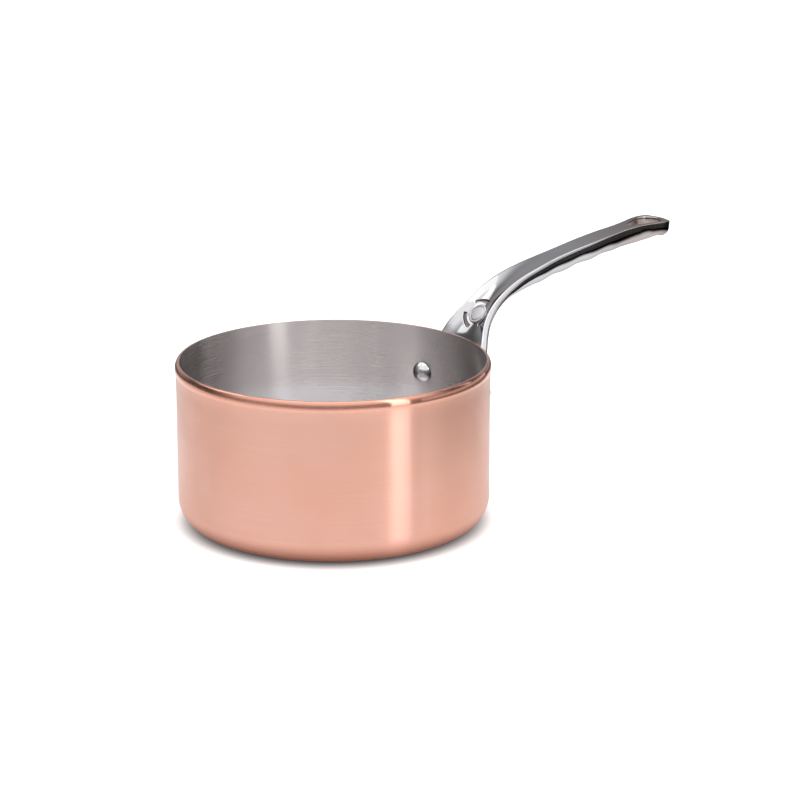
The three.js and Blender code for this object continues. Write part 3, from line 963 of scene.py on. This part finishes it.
# --- camera ---
CAMERA_TURN = math.radians(35)
CAMERA_AWAY = 1.61161
CAMERA_HEIGHT = 0.54062
CAMERA_PITCH = math.radians(16.192)
CAMERA_PAN = math.radians(1.391)
CAMERA_LENS = 128.53
CAMERA_SENSOR = 36.0
TOWARDS_CAMERA = Vector((-math.sin(CAMERA_TURN), -math.cos(CAMERA_TURN), 0))
RIGHT_OF_CAMERA = Vector((-TOWARDS_CAMERA.y, TOWARDS_CAMERA.x, 0))


def add_camera():
    camera = bpy.data.objects.new("camera", bpy.data.cameras.new("camera"))
    camera.data.sensor_width = CAMERA_SENSOR
    camera.data.lens = CAMERA_LENS
    camera.location = TOWARDS_CAMERA * CAMERA_AWAY + Vector((0, 0, CAMERA_HEIGHT))
    camera.rotation_euler = (math.pi / 2 - CAMERA_PITCH, 0, -CAMERA_TURN - CAMERA_PAN)
    bpy.context.scene.collection.objects.link(camera)
    bpy.context.scene.camera = camera


# --- studio ---
PAN_MIDDLE = Vector((0.02, 0, 0.06))
KEY_AIM = Vector((0.02, 0, 0.5))

# the table: its height and size in mm, and how far the reflected part reaches from the pan
TABLE_Z = -0.05
TABLE_R = 60000
TABLE_STEPS = 96
TABLE_RIGHT, TABLE_LEFT, TABLE_FRONT, TABLE_BACK = 540, -900, 800, -400
TABLE_WHITE = 0.8
SEEN_GLOW = 0.5
REFLECTED_GLOW = 0.28
FOOT_BOUNCE = (1.0, 0.62, 0.48)
# round the foot of the pan: the two radii in mm between which a level falls, and how far it falls
SEEN_SHADOW = (77, 99, 0.12)
REFLECTED_SHADOW = (76, 108, 0.3)
FOOT_TINTED = (80, 112, 0)
# the stretch to the right of the pan, in metres, over which the reflected table fades out
TABLE_FADE = (0.295, 0.405)

# the room's white where the camera looks straight at it
SEEN_WHITE = 1.2
# the room's levels in reflections, each with the stretch (from, to) over which it changes:
# behind the object, by how far a direction points away from the camera
BEHIND_SPREAD, BEHIND_LEVEL = (0.5, 0.95), (0.13, 0.64)
# added behind the object, by how far a direction points up
ABOVE_SPREAD, ABOVE_LEVEL = (0.6, 0.8), (0, 1.15)
# on the camera's side, by how far a direction points up
NEAR_SPREAD, NEAR_LEVEL = (0.2, 0.5), (0.45, 1.65)
# the share that is left below the horizon, by how far a direction points up
HORIZON_SPREAD, HORIZON_LEVEL = (-0.03, 0.02), (0.17, 1)
# where the camera's side of the room gives way to the part behind the object
SIDE_SPREAD = (-0.3, 0.2)


def beside_camera(degrees, distance, height):
    """A place seen from the pan at an angle to the right of the camera."""
    a = math.atan2(TOWARDS_CAMERA.y, TOWARDS_CAMERA.x) + math.radians(degrees)
    return Vector((distance * math.cos(a), distance * math.sin(a), height))


def softbox(name, place, aim, width, height, power):
    """A rectangular lamp that the camera doesn't see."""
    lamp = bpy.data.lights.new(name, "AREA")
    lamp.shape = "RECTANGLE"
    lamp.size = width
    lamp.size_y = height
    lamp.energy = power
    thing = bpy.data.objects.new(name, lamp)
    thing.location = place
    thing.rotation_euler = (aim - place).to_track_quat("-Z", "Y").to_euler()
    thing.visible_camera = False
    bpy.context.scene.collection.objects.link(thing)


def add_lights():
    softbox("key", beside_camera(45.5, 0.7, 0.5), KEY_AIM, width=0.165, height=1.1, power=1.35)
    softbox("overhead", Vector((0.1, 0.1, 1.6)), PAN_MIDDLE, width=1.6, height=1.6, power=5)
    softbox("far_left", beside_camera(-117, 1.3, 1.3), PAN_MIDDLE, width=1.15, height=0.8, power=3.8)
    softbox("right", beside_camera(113, 1.2, 0.75), PAN_MIDDLE, width=0.14, height=0.8, power=0.5)
    softbox("low_right", beside_camera(100, 1.2, 0.1), PAN_MIDDLE, width=1.8, height=0.2, power=1.0)


def flat_disc(name, radius, steps):
    """A flat round sheet at the table's height."""
    angles = np.arange(steps) * 2 * math.pi / steps
    points = [(0, 0, TABLE_Z), *[(radius * math.cos(a), radius * math.sin(a), TABLE_Z) for a in angles]]
    return add_object(name, points, [(0, j + 1, (j + 1) % steps + 1) for j in range(steps)])


def table_material(name):
    """A new matt white material that glows, its node tree and its shader."""
    material = bpy.data.materials.new(name)
    material.use_nodes = True
    shader = material.node_tree.nodes["Principled BSDF"]
    shader.inputs["Roughness"].default_value = 0.9
    shader.inputs["Specular IOR Level"].default_value = 0.0
    shader.inputs["Emission Color"].default_value = (1, 1, 1, 1)
    return material, material.node_tree, shader


def lit_by(tree, shader, level, glow):
    """Lets one level from 0 to 1 set both the table's white and its glow."""
    white = combined(tree, "MULTIPLY", level, TABLE_WHITE)
    shade = tree.nodes.new("ShaderNodeCombineXYZ")
    for socket in shade.inputs:
        tree.links.new(white, socket)
    tree.links.new(shade.outputs["Vector"], shader.inputs["Base Color"])
    tree.links.new(combined(tree, "MULTIPLY", level, glow), shader.inputs["Emission Strength"])


def contact(tree, inner, outer, lowest):
    """A level that falls from 1 towards the foot of the pan, between two radii in mm."""
    return mapped(tree, vector_length(tree, object_place(tree)), inner * MM, outer * MM, lowest, 1)


def seen_table():
    """The table top as the camera sees it, white but for the soft shadow at the foot of the pan."""
    material, tree, shader = table_material("white_floor")
    lit_by(tree, shader, contact(tree, *SEEN_SHADOW), SEEN_GLOW)
    return material


def reflected_table():
    """The table top as the object reflects it, which fades out to the right of the camera."""
    material, tree, shader = table_material("white_table")
    lit = mapped(tree, dot(tree, object_place(tree), RIGHT_OF_CAMERA), *TABLE_FADE, 1, 0)
    lit = combined(tree, "MULTIPLY", lit, contact(tree, *REFLECTED_SHADOW))
    lit_by(tree, shader, lit, REFLECTED_GLOW)
    tint = mixed(tree, contact(tree, *FOOT_TINTED), FOOT_BOUNCE, (1, 1, 1))
    tree.links.new(tint, shader.inputs["Emission Color"])
    return material


def add_floor():
    seen = flat_disc("floor_seen", TABLE_R, TABLE_STEPS)
    seen.data.materials.append(seen_table())
    seen.visible_glossy = False
    seen.visible_diffuse = False
    seen.visible_shadow = False
    corners = [
        (TABLE_RIGHT, TABLE_FRONT),
        (TABLE_RIGHT, TABLE_BACK),
        (TABLE_LEFT, TABLE_BACK),
        (TABLE_LEFT, TABLE_FRONT),
    ]
    lift = Vector((0, 0, TABLE_Z))
    points = [RIGHT_OF_CAMERA * x + TOWARDS_CAMERA * y + lift for x, y in corners]
    near = add_object("floor_near", points, [(0, 1, 2, 3)])
    near.data.materials.append(reflected_table())
    near.visible_camera = False
    near.visible_shadow = False


def room_level(tree, place):
    """How bright the room is in a direction: darker behind the object, brighter above the camera."""
    up = split(tree, place)["Z"]
    away = dot(tree, place, -TOWARDS_CAMERA)
    behind = mapped(tree, away, *BEHIND_SPREAD, *BEHIND_LEVEL)
    far_level = combined(tree, "ADD", mapped(tree, up, *ABOVE_SPREAD, *ABOVE_LEVEL), behind)
    near_level = mapped(tree, up, *NEAR_SPREAD, *NEAR_LEVEL)
    share = mapped(tree, away, *SIDE_SPREAD, 0, 1)
    difference = combined(tree, "SUBTRACT", far_level, near_level)
    level = combined(tree, "MULTIPLY_ADD", difference, share, near_level)
    return combined(tree, "MULTIPLY", level, mapped(tree, up, *HORIZON_SPREAD, *HORIZON_LEVEL))


def add_world():
    """A studio room that the object reflects, and plain white where the camera looks straight at it."""
    world = bpy.data.worlds.new("studio")
    bpy.context.scene.world = world
    world.use_nodes = True
    tree = world.node_tree
    nodes, links = tree.nodes, tree.links
    nodes.clear()
    place = nodes.new("ShaderNodeTexCoord").outputs["Generated"]
    around = nodes.new("ShaderNodeBackground")
    links.new(room_level(tree, place), around.inputs["Strength"])
    white = nodes.new("ShaderNodeBackground")
    white.inputs["Strength"].default_value = SEEN_WHITE
    path = nodes.new("ShaderNodeLightPath")
    mix = nodes.new("ShaderNodeMixShader")
    links.new(path.outputs["Is Camera Ray"], mix.inputs["Fac"])
    links.new(around.outputs["Background"], mix.inputs[1])
    links.new(white.outputs["Background"], mix.inputs[2])
    out = nodes.new("ShaderNodeOutputWorld")
    links.new(mix.outputs["Shader"], out.inputs["Surface"])


build_object()
add_camera()
add_lights()
add_floor()
add_world()
bpy.context.scene.view_settings.view_transform = "Standard"
